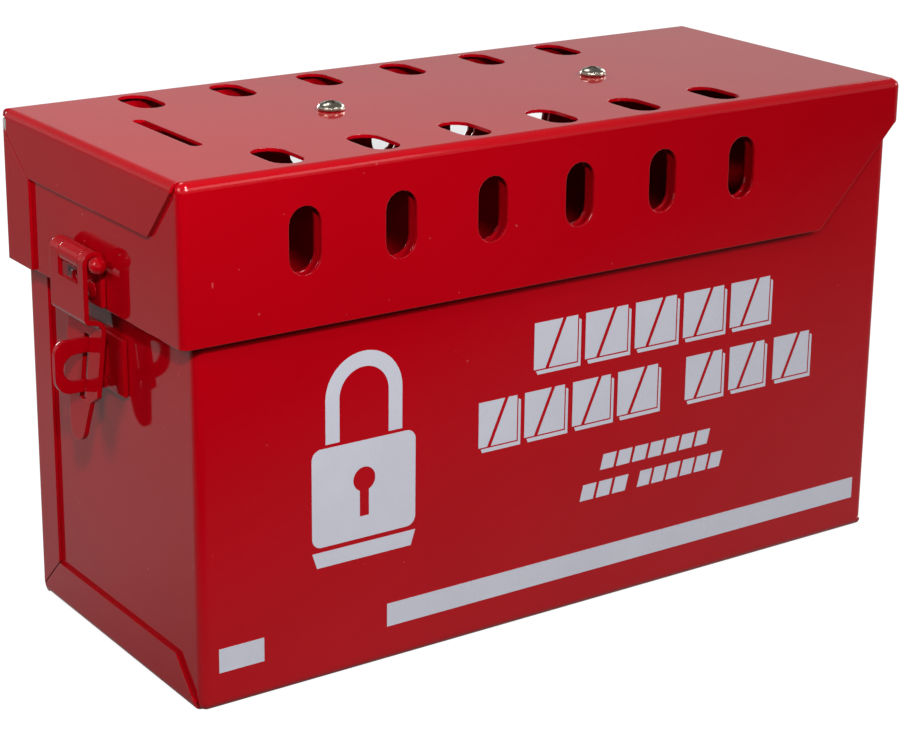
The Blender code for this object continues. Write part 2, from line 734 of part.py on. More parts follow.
# the hasp
def make_hasp_lid_leaf(holes):
    top = curl(HASP_PIN_X, HASP_PIN_Z, HASP_ROLL, 0, HASP_LEAF_CURL_DEG)
    path = [Vector((HASP_LEAF_X, OVERALL_HEIGHT - HASP_LEAF_BOTTOM))] + top
    leaf = ribbon("hasp_lid_leaf", path, HASP_SHEET, [HASP_WIDTH / 2] * len(path))
    low = HASP_PIN_Z - HASP_LEAF_SHOULDER
    reach = 2 * HASP_ROLL
    for i, side in enumerate((-1, 1)):
        outline = box_outline(HASP_PIN_X - reach, HASP_PIN_X + reach, low, HASP_PIN_Z + reach)
        near, far = sorted((HASP_MIDDLE_Y + side * HASP_MIDDLE_KNUCKLE / 2, side * HASP_WIDTH))
        cut(leaf, prism(f"hasp_leaf_notch_{i + 1}", outline, NORTH, near, far))
    cut(leaf, holes)
    return leaf


def strap_rows():
    """The strap's middle path with its half widths, from the roll down to the tongue's tip."""
    flare = math.tan(math.radians(HASP_FLARE_DEG))
    plate_x = HASP_PIN_X - HASP_ROLL
    step_z = OVERALL_HEIGHT - HASP_STEP_BOTTOM

    def lower_x(z):
        return HASP_LEAF_X - (step_z - z) * flare

    shoulder_z = OVERALL_HEIGHT - HASP_SHOULDER
    bends = [
        (plate_x, HASP_PIN_Z),
        (plate_x, OVERALL_HEIGHT - HASP_STEP_TOP),
        (HASP_LEAF_X, step_z),
        (lower_x(shoulder_z), shoulder_z),
    ]
    path = curl(HASP_PIN_X, HASP_PIN_Z, HASP_ROLL, HASP_CURL_START_DEG, 180)[:-1]
    path += rounded(bends, (HASP_UPPER_FOLD, HASP_LOWER_FOLD))
    widths = [HASP_WIDTH / 2] * len(path)
    root_z = OVERALL_HEIGHT - HASP_TONGUE_ROOT
    path.append(Vector((lower_x(root_z), root_z)))
    widths.append(HASP_TONGUE_ROOT_WIDTH / 2)
    radius = HASP_TONGUE_END_WIDTH / 2
    end_z = OVERALL_HEIGHT - HASP_TIP + radius
    for angle in steps_between(0, QUARTER, TIP_STEPS)[:-1]:
        z = end_z - radius * math.sin(angle)
        path.append(Vector((lower_x(z), z)))
        widths.append(radius * math.cos(angle))
    return path, widths


def make_hasp_strap():
    path, widths = strap_rows()
    strap = ribbon("hasp_strap", path, HASP_SHEET, widths)
    reach = 2 * HASP_ROLL + HASP_SHEET
    window = box_outline(
        HASP_PIN_X - reach, HASP_PIN_X + reach, OVERALL_HEIGHT - HASP_WINDOW_BOTTOM, HASP_PIN_Z + reach
    )
    half = HASP_MIDDLE_KNUCKLE / 2 + FIT_GAP
    cut(strap, prism("hasp_window_cutter", window, NORTH, HASP_MIDDLE_Y - half, HASP_MIDDLE_Y + half))
    slot = box_outline(
        HASP_PIN_X - reach, HASP_PIN_X + reach, OVERALL_HEIGHT - HASP_SLOT_BOTTOM, OVERALL_HEIGHT - HASP_SLOT_TOP
    )
    half = HASP_SLOT_WIDTH / 2
    cut(strap, prism("hasp_slot_cutter", slot, NORTH, EYE_Y - half, EYE_Y + half))
    return strap


def make_hasp_pin():
    """A pin with a ball at the front and a formed tail at the back."""
    end = HASP_WIDTH / 2 + FIT_GAP
    ball = HASP_PIN_HEAD_RADIUS
    start = math.asin(HASP_PIN_NECK_RADIUS / ball)
    middle = -end - ball * math.cos(start)
    profile = [(0, middle - ball)]
    for angle in steps_between(HALF, start, 2 * DOME_STEPS)[1:]:
        profile.append((ball * math.sin(angle), middle + ball * math.cos(angle)))
    neck_end = -HASP_WIDTH / 2
    profile += [(HASP_PIN_NECK_RADIUS, neck_end), (HASP_PIN_RADIUS, neck_end), (HASP_PIN_RADIUS, end)]
    profile += dome(HASP_PIN_TAIL_RADIUS, 0, HASP_PIN_TAIL_HEIGHT, end)
    return turned("hasp_pin", profile, Vector((HASP_PIN_X, 0, HASP_PIN_Z)), NORTH, ROUND_STEPS)


def make_hasp_rivets():
    grip = SHEET + HASP_SHEET + 3 * FIT_GAP
    x = LID_WING_FACE - HASP_SHEET - 2 * FIT_GAP
    z = OVERALL_HEIGHT - HASP_RIVET_BELOW_TOP
    return [
        make_rivet(f"hasp_leaf_rivet_{i + 1}", Vector((x, y, z)), -EAST, grip, HASP_RIVET_HEAD_HEIGHT)
        for i, y in enumerate(HASP_RIVETS_Y)
    ]


# the staple
def make_staple_base(tenon_slot):
    top = OVERALL_HEIGHT - STAPLE_TOP
    outline = box_outline(STAPLE_OUTER_FACE, STAPLE_OUTER_FACE + STAPLE_SHEET, top - STAPLE_HEIGHT, top)
    base = prism("staple_base_plate", outline, NORTH, -STAPLE_WIDTH / 2, STAPLE_WIDTH / 2)
    cut(base, tenon_slot)
    return base


def corner_arc(x, z, radius, start, end):
    return [
        Vector((x + radius * math.cos(angle), 0, z + radius * math.sin(angle)))
        for angle in steps_between(start, end, SLOT_END_STEPS)
    ]


def make_staple_eye():
    """The eye plate with its tenon, which goes through the base plate and the wall and is peened inside."""
    root = STAPLE_OUTER_FACE - FIT_GAP
    tip = root - EYE_REACH
    top = OVERALL_HEIGHT - EYE_TOP
    bottom = top - EYE_HEIGHT
    tenon_top = EYE_MIDDLE_Z + EYE_TENON_HEIGHT / 2
    tenon_bottom = EYE_MIDDLE_Z - EYE_TENON_HEIGHT / 2
    peen_start = BODY_WING_FACE + SHEET + FIT_GAP
    peen_end = peen_start + EYE_PEEN
    outline = corner_arc(tip + EYE_TOP_CORNER, top - EYE_TOP_CORNER, EYE_TOP_CORNER, QUARTER, HALF)
    corner = EYE_BOTTOM_CORNER
    outline += corner_arc(tip + corner, bottom + corner, corner, HALF, HALF + QUARTER)
    steps = [
        (root, bottom),
        (root, tenon_bottom),
        (peen_start, tenon_bottom),
        (peen_start, tenon_bottom - EYE_PEEN_LIP),
        (peen_end, tenon_bottom - EYE_PEEN_LIP),
        (peen_end, tenon_top + EYE_PEEN_LIP),
        (peen_start, tenon_top + EYE_PEEN_LIP),
        (peen_start, tenon_top),
        (root, tenon_top),
        (root, top),
    ]
    outline += [Vector((x, 0, z)) for x, z in steps]
    eye = prism("staple_eye", outline, NORTH, EYE_Y - EYE_THICKNESS / 2, EYE_Y + EYE_THICKNESS / 2)
    hole_z = top - EYE_HOLE_BELOW_EYE_TOP - EYE_HOLE_HEIGHT / 2
    hole_place = Vector((tip + EYE_RIM + EYE_HOLE_LENGTH / 2, 0, hole_z))
    hole = obround(hole_place, EAST, UP, EYE_HOLE_LENGTH, EYE_HOLE_HEIGHT)
    cut(eye, prism("eye_hole_cutter", hole, NORTH, EYE_Y - EYE_THICKNESS, EYE_Y + EYE_THICKNESS))
    return eye


# the screws
def make_screw(name, x):
    base = OVERALL_HEIGHT + FIT_GAP
    tail = -SHEET - WASHER_THICKNESS - NUT_HEIGHT - SCREW_TAIL - 3 * FIT_GAP
    profile = [
        (0, tail),
        (SCREW_RADIUS - SCREW_TIP_CHAMFER, tail),
        (SCREW_RADIUS, tail + SCREW_TIP_CHAMFER),
        (SCREW_RADIUS, 0),
        (SCREW_HEAD_RADIUS, 0),
    ]
    profile += dome(SCREW_HEAD_RADIUS, SCREW_HEAD_EDGE, SCREW_HEAD_HEIGHT, 0)
    screw = turned(name, profile, Vector((x, SCREW_BEHIND_MIDDLE, base)), UP, ROUND_STEPS)
    top = Vector((x, SCREW_BEHIND_MIDDLE, base + SCREW_HEAD_HEIGHT))
    arms = []
    for quarter in range(4):
        way = Vector((math.cos(QUARTER * quarter), math.sin(QUARTER * quarter), 0))
        side = UP.cross(way)
        arms.append(top + way * (CROSS_WIDTH / 2) - side * (CROSS_WIDTH / 2))
        arms.append(top + way * (CROSS_SPAN / 2) - side * (CROSS_WIDTH / 2))
        arms.append(top + way * (CROSS_SPAN / 2) + side * (CROSS_WIDTH / 2))
    cut(screw, prism(name + "_cross", arms, UP, -CROSS_DEPTH, SCREW_HEAD_HEIGHT))
    return screw


def plate_with_hole(name, outline, middle, top, height):
    plate = prism(name, outline, UP, top - height, top)
    hole = circle(middle, EAST, NORTH, SCREW_HOLE_RADIUS, ROUND_STEPS)
    cut(plate, prism(name + "_hole", hole, UP, top - 2 * height, top + height))
    return plate


def make_screw_sets():
    made = []
    washer_top = OVERALL_HEIGHT - SHEET - FIT_GAP
    nut_top = washer_top - WASHER_THICKNESS - FIT_GAP
    nut_corner = NUT_ACROSS_FLATS / 2 / math.cos(FULL / 12)
    for i, x in enumerate(SCREWS_X):
        middle = Vector((x, SCREW_BEHIND_MIDDLE, 0))
        rim = circle(middle, EAST, NORTH, WASHER_RADIUS, ROUND_STEPS)
        made.append(make_screw(f"lid_screw_{i + 1}", x))
        made.append(plate_with_hole(f"lid_washer_{i + 1}", rim, middle, washer_top, WASHER_THICKNESS))
        hexagon = circle(middle, EAST, NORTH, nut_corner, 6)
        made.append(plate_with_hole(f"lid_nut_{i + 1}", hexagon, middle, nut_top, NUT_HEIGHT))
    return made


def set_pivot(pieces, place, name):
    """Hangs moving pieces on an empty at their joint."""
    pivot = bpy.data.objects.new(name, None)
    pivot.location = place
    bpy.context.scene.collection.objects.link(pivot)
    for piece in pieces:
        piece.parent = pivot
        piece.matrix_parent_inverse.translation = -place
    return pivot


def main():
    clear_scene()
    side_slots = side_slot_cutter()
    tenon_slot = tenon_cutter()
    hasp_rivet_z = OVERALL_HEIGHT - HASP_RIVET_BELOW_TOP
    lid_rivet_z = OVERALL_HEIGHT - HINGE_LID_RIVET_DROP
    body_rivet_z = HINGE_Z - HINGE_BODY_RIVET_DROP
    hasp_holes = wall_holes("hasp_rivet_holes", LID_WING_FACE, hasp_rivet_z, HASP_RIVETS_Y)
    lid_holes = wall_holes("lid_hinge_holes", LID_RIGHT, lid_rivet_z, HINGE_RIVETS_Y)
    body_holes = wall_holes("body_hinge_holes", BODY_HINGE_FACE, body_rivet_z, HINGE_RIVETS_Y)

    fixed = [
        make_body(side_slots, body_holes, tenon_slot),
        make_hinge_body_leaf(body_holes),
        make_staple_base(tenon_slot),
        make_staple_eye(),
    ]
    on_lid = [
        make_lid(side_slots, lid_holes, hasp_holes),
        make_hinge_lid_leaf(lid_holes),
        make_hasp_lid_leaf(hasp_holes),
    ]
    strap = make_hasp_strap()
    hinge_rivets = make_hinge_rivets()
    steel = [make_hinge_pin()] + hinge_rivets + make_screw_sets()
    hasp_fixings = [make_hasp_pin()] + make_hasp_rivets()

    for piece in fixed + on_lid + [strap] + steel + hasp_fixings:
        settle(piece)
    for piece in fixed + on_lid + [strap] + hasp_fixings:
        red_paint(piece)
    for piece in steel:
        bright_steel(piece)
    lid_steel = [piece for piece in steel if piece.name.startswith(("lid_", "hinge_lid"))]
    set_pivot(on_lid + lid_steel + hasp_fixings, Vector((HINGE_X, 0, HINGE_Z)), "lid_pivot")
    set_pivot([strap], Vector((HASP_PIN_X, 0, HASP_PIN_Z)), "hasp_pivot")


main()
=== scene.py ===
"""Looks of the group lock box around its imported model: paint, plating, print, floor, lamps and camera."""

import math

import bmesh
import bpy
from mathutils import Matrix, Vector


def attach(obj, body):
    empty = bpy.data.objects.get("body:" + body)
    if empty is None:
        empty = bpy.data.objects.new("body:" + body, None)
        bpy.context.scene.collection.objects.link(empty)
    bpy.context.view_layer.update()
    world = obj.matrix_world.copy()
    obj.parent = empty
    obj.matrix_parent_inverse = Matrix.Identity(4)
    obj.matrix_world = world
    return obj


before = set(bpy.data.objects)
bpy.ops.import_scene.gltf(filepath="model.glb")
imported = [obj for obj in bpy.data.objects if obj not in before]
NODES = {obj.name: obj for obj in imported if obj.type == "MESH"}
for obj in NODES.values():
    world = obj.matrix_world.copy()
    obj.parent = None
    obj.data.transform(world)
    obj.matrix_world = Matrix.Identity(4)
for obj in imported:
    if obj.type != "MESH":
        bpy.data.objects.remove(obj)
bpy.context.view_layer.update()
MM = 0.001

# the lid's hasp end and top, in millimetres
LID_LEFT, LID_TOP = -128.65, 150.2

# paint, plating and ink
RED = (0.48, 0.0, 0.006, 1.0)
DEEP_RED = (0.44, 0.0, 0.005, 1.0)
# a darker red for patches along sharp edges and creases
EDGE_DARK_RED = (0.16, 0.012, 0.008, 1.0)
DUST_RED = (0.55, 0.07, 0.07, 1.0)
# the grey of the small pale spot on the lid
SPOT_GREY = (0.5, 0.47, 0.43, 1.0)
ZINC = (0.5, 0.45, 0.37, 1.0)
DARK_ZINC = (0.34, 0.3, 0.24, 1.0)
INK = (0.66, 0.665, 0.75, 1.0)
WORN_INK = (0.62, 0.625, 0.71, 1.0)
RED_UNDER_INK = (0.5, 0.02, 0.03, 1.0)
COAT_IOR = 1.45
COAT_ROUGHNESS, STEEL_ROUGHNESS, INK_ROUGHNESS = (0.035, 0.07), (0.12, 0.28), (0.22, 0.32)
COAT_EDGE, STEEL_EDGE = 0.3 * MM, 0.15 * MM
EDGE_SAMPLES = 6
EDGE_LIKENESS = (0.97, 0.8)

# strength and depth of each bump: orange peel, waves in the coat, grain of the steel, tooth of the ink
PEEL = (0.03, 0.1 * MM)
WAVES = (0.05, 0.3 * MM)
GRAIN = (0.15, 0.03 * MM)
TOOTH = (0.08, 0.05 * MM)

# the range in which most of a noise lies, and a full share
NOISE_RANGE = (0.3, 0.7)
SHARE = (0.0, 1.0)

# a small pale grey spot with a ragged edge on the lid, at the rear corner of its hasp end
LID_PALE_SPOT = Vector((LID_LEFT, 50.7, 145.9)) * MM
PALE_SPOT_RADIUS = 1.6 * MM
PALE_SPOT_EDGE = 0.3 * MM
PALE_SPOT_RAGGED = 0.6 * MM


# node helpers
def feed(tree, socket, value):
    """Links another node's output to the socket, or sets the socket to a plain value."""
    if isinstance(value, bpy.types.NodeSocket):
        tree.links.new(value, socket)
    else:
        socket.default_value = value


def node(tree, kind, **inputs):
    made = tree.nodes.new(kind)
    for name, value in inputs.items():
        feed(tree, made.inputs[name.replace("_", " ")], value)
    return made


def new_material(name):
    material = bpy.data.materials.new(name)
    material.use_nodes = True
    tree = material.node_tree
    tree.nodes.clear()
    output = tree.nodes.new("ShaderNodeOutputMaterial")
    shader = tree.nodes.new("ShaderNodeBsdfPrincipled")
    tree.links.new(shader.outputs["BSDF"], output.inputs["Surface"])
    return material, tree, shader


def object_coordinates(tree):
    return tree.nodes.new("ShaderNodeTexCoord").outputs["Object"]


def noise(tree, scale, detail=2.0, rough=0.5, offset=(0, 0, 0)):
    mapping = node(tree, "ShaderNodeMapping", Vector=object_coordinates(tree), Location=offset)
    texture = node(
        tree,
        "ShaderNodeTexNoise",
        Vector=mapping.outputs["Vector"],
        Scale=scale,
        Detail=detail,
        Roughness=rough,
    )
    return texture.outputs["Fac"]


def span(tree, value, old, new):
    """The value moved from the old range to the new one, and held at its ends."""
    made = node(
        tree,
        "ShaderNodeMapRange",
        Value=value,
        From_Min=old[0],
        From_Max=old[1],
        To_Min=new[0],
        To_Max=new[1],
    )
    made.clamp = True
    return made.outputs["Result"]


def math_node(tree, operation, first, second):
    made = tree.nodes.new("ShaderNodeMath")
    made.operation = operation
    feed(tree, made.inputs[0], first)
    feed(tree, made.inputs[1], second)
    return made.outputs["Value"]


def vector_math(tree, operation, *vectors):
    made = tree.nodes.new("ShaderNodeVectorMath")
    made.operation = operation
    for socket, vector in zip(made.inputs, vectors):
        feed(tree, socket, vector)
    return made.outputs["Value"]


def mix_colour(tree, share, first, second):
    made = tree.nodes.new("ShaderNodeMix")
    made.data_type = "RGBA"
    for place, value in ((0, share), (6, first), (7, second)):
        feed(tree, made.inputs[place], value)
    return made.outputs[2]


def bump(tree, height, strength_and_depth, normal=None):
    strength, depth = strength_and_depth
    made = node(tree, "ShaderNodeBump", Height=height, Strength=strength, Distance=depth)
    if normal is not None:
        tree.links.new(normal, made.inputs["Normal"])
    return made.outputs["Normal"]


def soft_edges(tree, radius):
    made = node(tree, "ShaderNodeBevel", Radius=radius)
    made.samples = EDGE_SAMPLES
    return made.outputs["Normal"]


def edge_share(tree, soft_normal):
    """1 along sharp edges and 0 on flats: how far the softened normal turns from the true one."""
    true_normal = tree.nodes.new("ShaderNodeNewGeometry").outputs["True Normal"]
    likeness = vector_math(tree, "DOT_PRODUCT", soft_normal, true_normal)
    return span(tree, likeness, EDGE_LIKENESS, SHARE)


# materials
def pale_spot(tree, colour, place):
    """The colour turned pale grey round a place, within a ragged edge."""
    distance = vector_math(tree, "DISTANCE", object_coordinates(tree), place)
    ragged = span(tree, noise(tree, 900.0), NOISE_RANGE, (-PALE_SPOT_RAGGED, PALE_SPOT_RAGGED))
    distance = math_node(tree, "ADD", distance, ragged)
    spot_share = span(tree, distance, (PALE_SPOT_RADIUS, PALE_SPOT_RADIUS + PALE_SPOT_EDGE), (1.0, 0.0))
    return mix_colour(tree, spot_share, colour, SPOT_GREY)


def red_coat(name, seed, pale_spot_at=None):
    """Glossy red powder coat: faint orange peel, a little dust, and darker in patches along sharp edges and
    creases.

    The last argument is a place, in the piece's own coordinates, where the coat shows a small pale grey spot.
    """
    material, tree, shader = new_material(name)
    soft = soft_edges(tree, COAT_EDGE)

    cloud = noise(tree, 9.0, detail=3.0, rough=0.55, offset=(seed, seed, 0))
    colour = mix_colour(tree, span(tree, cloud, (0.35, 0.65), SHARE), RED, DEEP_RED)
    # darker in patches where the surface turns sharply, along edges and creases
    edge_patches = noise(tree, 260.0, detail=3.0, rough=0.6, offset=(seed, 0, 2))
    edge_patches = span(tree, edge_patches, (0.38, 0.6), (0.15, 0.85))
    colour = mix_colour(tree, math_node(tree, "MULTIPLY", edge_share(tree, soft), edge_patches), colour, EDGE_DARK_RED)
    dust = noise(tree, 520.0, detail=1.0, rough=0.4, offset=(0, seed, 0))
    colour = mix_colour(tree, span(tree, dust, (0.79, 0.83), (0.0, 0.8)), colour, DUST_RED)
    # a small pale grey spot with a ragged edge
    if pale_spot_at is not None:
        colour = pale_spot(tree, colour, pale_spot_at)
    tree.links.new(colour, shader.inputs["Base Color"])

    smudge = noise(tree, 14.0, detail=4.0, rough=0.6, offset=(seed, 0, seed))
    tree.links.new(span(tree, smudge, NOISE_RANGE, COAT_ROUGHNESS), shader.inputs["Roughness"])
    shader.inputs["IOR"].default_value = COAT_IOR

    peel = noise(tree, 420.0, offset=(seed, 0, 0))
    waves = noise(tree, 45.0, detail=1.0, rough=0.4, offset=(0, 0, seed))
    normal = bump(tree, peel, PEEL, soft)
    normal = bump(tree, waves, WAVES, normal)
    tree.links.new(normal, shader.inputs["Normal"])
    return material


def plated(name, seed):
    """Zinc plated steel: bright, faintly brushed and cloudy."""
    material, tree, shader = new_material(name)
    cloud = noise(tree, 160.0, detail=3.0, offset=(seed, 0, 0))
    colour = mix_colour(tree, span(tree, cloud, NOISE_RANGE, SHARE), ZINC, DARK_ZINC)
    tree.links.new(colour, shader.inputs["Base Color"])
    shader.inputs["Metallic"].default_value = 1.0
    tree.links.new(span(tree, cloud, NOISE_RANGE, STEEL_ROUGHNESS), shader.inputs["Roughness"])
    grain = noise(tree, 2200.0, offset=(0, seed, 0))
    normal = bump(tree, grain, GRAIN, soft_edges(tree, STEEL_EDGE))
    tree.links.new(normal, shader.inputs["Normal"])
    return material


def ink():
    """Screen printed pale ink, satin and slightly uneven, with pinholes where the red shows."""
    material, tree, shader = new_material("pale_ink")
    cloud = noise(tree, 60.0, detail=3.0, rough=0.6)
    colour = mix_colour(tree, span(tree, cloud, NOISE_RANGE, SHARE), INK, WORN_INK)
    holes = noise(tree, 900.0, offset=(3, 0, 1))
    colour = mix_colour(tree, span(tree, holes, (0.74, 0.8), (0.0, 0.6)), colour, RED_UNDER_INK)
    tree.links.new(colour, shader.inputs["Base Color"])
    tree.links.new(span(tree, cloud, NOISE_RANGE, INK_ROUGHNESS), shader.inputs["Roughness"])
    tree.links.new(bump(tree, noise(tree, 700.0), TOOTH), shader.inputs["Normal"])
    return material


def finish_nodes():
    steel_words = ("hinge_pin", "hinge_body_rivet", "hinge_lid_rivet", "lid_screw", "lid_washer", "lid_nut")
    for i, (name, part) in enumerate(sorted(NODES.items())):
        if name.startswith(steel_words):
            made = plated("plated_" + name, i)
        else:
            # only the lid gets the small pale grey spot
            pale_spot_at = part.matrix_world.inverted() @ LID_PALE_SPOT if name == "lid_shell" else None
            made = red_coat("red_coat_" + name, i, pale_spot_at)
        part.data.materials.clear()
        part.data.materials.append(made)


# print on the front, drawn in the lid's measures: x from its hasp end, z down from its top, in millimetres
PRINT_FACE = -49.95
INK_DEPTH = 0.03
INK_GAP = 0.01

# blocks, each cut by a slanted line, with a shade below and to the right that a thin line sets off
CUT_LEAN, CUT_WIDTH = 2.4, 1.3
SHADE_X, SHADE_Z = 1.3, 1.6
SHADE_LINE = 0.45
UPPER_ROW = (-57.2, -71.4)
UPPER_START, UPPER_COUNT, UPPER_WIDTH, UPPER_PITCH = 116.2, 5, 15.6, 18.55
LOWER_ROW = (-77.8, -91.6)
LOWER_BLOCKS = (
    (97, 110.5),
    (113.2, 127.6),
    (130.6, 144.6),
    (147.4, 162.6),
    (173.6, 187.8),
    (191, 205),
    (209, 223.6),
)

# slanted dashes: the first one's left, their number, width and pitch, and the row's top and bottom
DASH_ROWS = (
    (141.6, 7, 5.0, 6.1, -102.8, -107.6),
    (134.2, 3, 5.0, 6.1, -111.2, -116.2),
    (156.0, 6, 4.6, 5.6, -111.2, -116.2),
)
DASH_SLANT = 0.25

# padlock sign, from the middle of its body's top edge
PADLOCK_X, PADLOCK_Z = 58.4, -81.0
PADLOCK_HALF_WIDTH, PADLOCK_HEIGHT, PADLOCK_CORNER = 17.0, 29.0, 3.0
SHACKLE_OUTSIDE, SHACKLE_INSIDE, SHACKLE_RISE, SHACKLE_GAP = 12.5, 8.0, 13.5, 1.0
KEYHOLE_BELOW, KEYHOLE_RADIUS, KEYHOLE_HALF_LEG, KEYHOLE_LEG = 11.5, 3.6, 1.5, 11.0
FOOT_GAP, FOOT_DEPTH, FOOT_TAPER = 1.4, 6.0, 1.5
ARC_STEPS, CORNER_STEPS, KEYHOLE_STEPS = 32, 8, 20

# the long stripe and the small block beside it
STRIPE_TOP, STRIPE_BOTTOM = -132.3, -139.4
STRIPES = ((66.0, 246.7), (11.7, 25.8))


def arc(x, z, radius, start, end, steps=ARC_STEPS):
    turns = [math.radians(start + (end - start) * i / steps) for i in range(steps + 1)]
    return [(x + radius * math.cos(turn), z + radius * math.sin(turn)) for turn in turns]


def block(left, right, top, bottom):
    """A block cut in two by a slanted line, with an offset shade below and to the right."""
    middle = (left + right) / 2
    cut_top, cut_bottom = middle + CUT_LEAN, middle - CUT_LEAN
    return [
        [(left, top), (cut_top, top), (cut_bottom - CUT_WIDTH, bottom), (left, bottom)],
        [(cut_top + CUT_WIDTH, top), (right, top), (right, bottom), (cut_bottom, bottom)],
        [
            (left + SHADE_X - SHADE_LINE, bottom - SHADE_LINE),
            (right + SHADE_LINE, bottom - SHADE_LINE),
            (right + SHADE_LINE, top - SHADE_Z + SHADE_LINE),
            (right + SHADE_X, top - SHADE_Z),
            (right + SHADE_X, bottom - SHADE_Z),
            (left + SHADE_X, bottom - SHADE_Z),
        ],
    ]


def dashes(start, count, width, pitch, top, bottom):
    lean = (top - bottom) * DASH_SLANT
    return [
        [(x + lean, top), (x + width + lean, top), (x + width, bottom), (x, bottom)]
        for x in (start + i * pitch for i in range(count))
    ]


def padlock(x, z):
    """A plain upright padlock sign: shackle, body in two parts with a keyhole left open, and a foot."""
    half, low, corner = PADLOCK_HALF_WIDTH, PADLOCK_HEIGHT, PADLOCK_CORNER
    outside, inside, crown, leg_end = SHACKLE_OUTSIDE, SHACKLE_INSIDE, z + SHACKLE_RISE, z + SHACKLE_GAP
    shackle = arc(x, crown, outside, 0, 180) + [(x - outside, leg_end), (x - inside, leg_end)]
    shackle += arc(x, crown, inside, 180, 0) + [(x + inside, leg_end), (x + outside, leg_end)]

    hole_z, leg = z - KEYHOLE_BELOW, KEYHOLE_HALF_LEG
    meet = math.degrees(math.asin(leg / KEYHOLE_RADIUS))
    corner_x = x + half - corner
    right_half = [(x, z), (corner_x, z)] + arc(corner_x, z - corner, corner, 90, 0, CORNER_STEPS)[1:]
    right_half += [(x + half, z - low + corner)]
    right_half += arc(corner_x, z - low + corner, corner, 0, -90, CORNER_STEPS)[1:]
    right_half += [(x, z - low), (x, hole_z - KEYHOLE_LEG), (x + leg, hole_z - KEYHOLE_LEG)]
    right_half += arc(x, hole_z, KEYHOLE_RADIUS, -90 + meet, 90, KEYHOLE_STEPS)
    left_half = [(2 * x - px, pz) for px, pz in reversed(right_half)]

    foot_top, foot_bottom, foot_half = z - low - FOOT_GAP, z - low - FOOT_DEPTH, half - FOOT_TAPER
    foot = [(x - half, foot_top), (x + half, foot_top)]
    foot += [(x + foot_half, foot_bottom), (x - foot_half, foot_bottom)]
    return [shackle, right_half, left_half, foot]


def make_print(material):
    shapes = []
    for i in range(UPPER_COUNT):
        left = UPPER_START + i * UPPER_PITCH
        shapes += block(left, left + UPPER_WIDTH, *UPPER_ROW)
    for left, right in LOWER_BLOCKS:
        shapes += block(left, right, *LOWER_ROW)
    for row in DASH_ROWS:
        shapes += dashes(*row)
    shapes += padlock(PADLOCK_X, PADLOCK_Z)
    top, bottom = STRIPE_TOP, STRIPE_BOTTOM
    for left, right in STRIPES:
        shapes.append([(left, top), (right, top), (right, bottom), (left, bottom)])

    mesh_data = bmesh.new()
    for shape in shapes:
        near, far = [
            [
                mesh_data.verts.new(Vector((x + LID_LEFT, PRINT_FACE - depth, z + LID_TOP)) * MM)
                for x, z in shape
            ]
            for depth in (INK_GAP, INK_GAP + INK_DEPTH)
        ]
        mesh_data.faces.new(near)
        mesh_data.faces.new(far)
        for i in range(len(shape)):
            mesh_data.faces.new((near[i - 1], near[i], far[i], far[i - 1]))
    bmesh.ops.recalc_face_normals(mesh_data, faces=mesh_data.faces)
    mesh = bpy.data.meshes.new("front_print")
    mesh_data.to_mesh(mesh)
    mesh_data.free()
    mesh.materials.append(material)
    piece = bpy.data.objects.new("front_print", mesh)
    bpy.context.scene.collection.objects.link(piece)
    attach(piece, "box")


# stage: the floor's sheet is pale behind a slanted line in front of the box, and dims away from the box
FLOOR_HALF = 6.0
FLOOR_ROUGHNESS, FLOOR_GLOSS = 0.9, 0.1
SHEET_ACROSS = (0.45, 1.0, 0.0)
SHEET_STARTS, SHEET_FULL = -0.26, 0.0
SHEET_NEAR, SHEET_FAR, SHEET_FAR_SHARE = 0.28, 0.5, 0.6
SHEET_COLOUR = 0.2
SHEET_GLOW = 0.91
SHEET_IN_GLOSS = 0.24

# the soft shadow on the floor: its place, turn and half axes, and where it fades from full to none
SHADOW_PLACE, SHADOW_TURN, SHADOW_SIZE = (0.22, 0.33, 0), (0, 0, 1.1), (0.38, 0.18, 1)
SHADOW_FADE = (0.2, 1.0)
SHADOW_DEPTH = 0.42

# the backdrop as gloss shows it: bright up to a low height, with a dimmer room above it
BACKDROP_TOP, ROOM_FROM = 0.27, 0.42
BACKDROP_IN_GLOSS, ROOM_IN_GLOSS = 0.49, 0.2
ROOM_LIGHT = 0.12


def shown(tree, direct, mirrored):
    """The strength for camera rays, and for those that show the background in gloss or glass; 0 for light."""
    path = tree.nodes.new("ShaderNodeLightPath")
    gloss = math_node(tree, "MAXIMUM", path.outputs["Is Glossy Ray"], path.outputs["Is Transmission Ray"])
    gloss = math_node(tree, "MULTIPLY", gloss, mirrored)
    seen = math_node(tree, "MULTIPLY", path.outputs["Is Camera Ray"], direct)
    return math_node(tree, "MAXIMUM", seen, gloss)


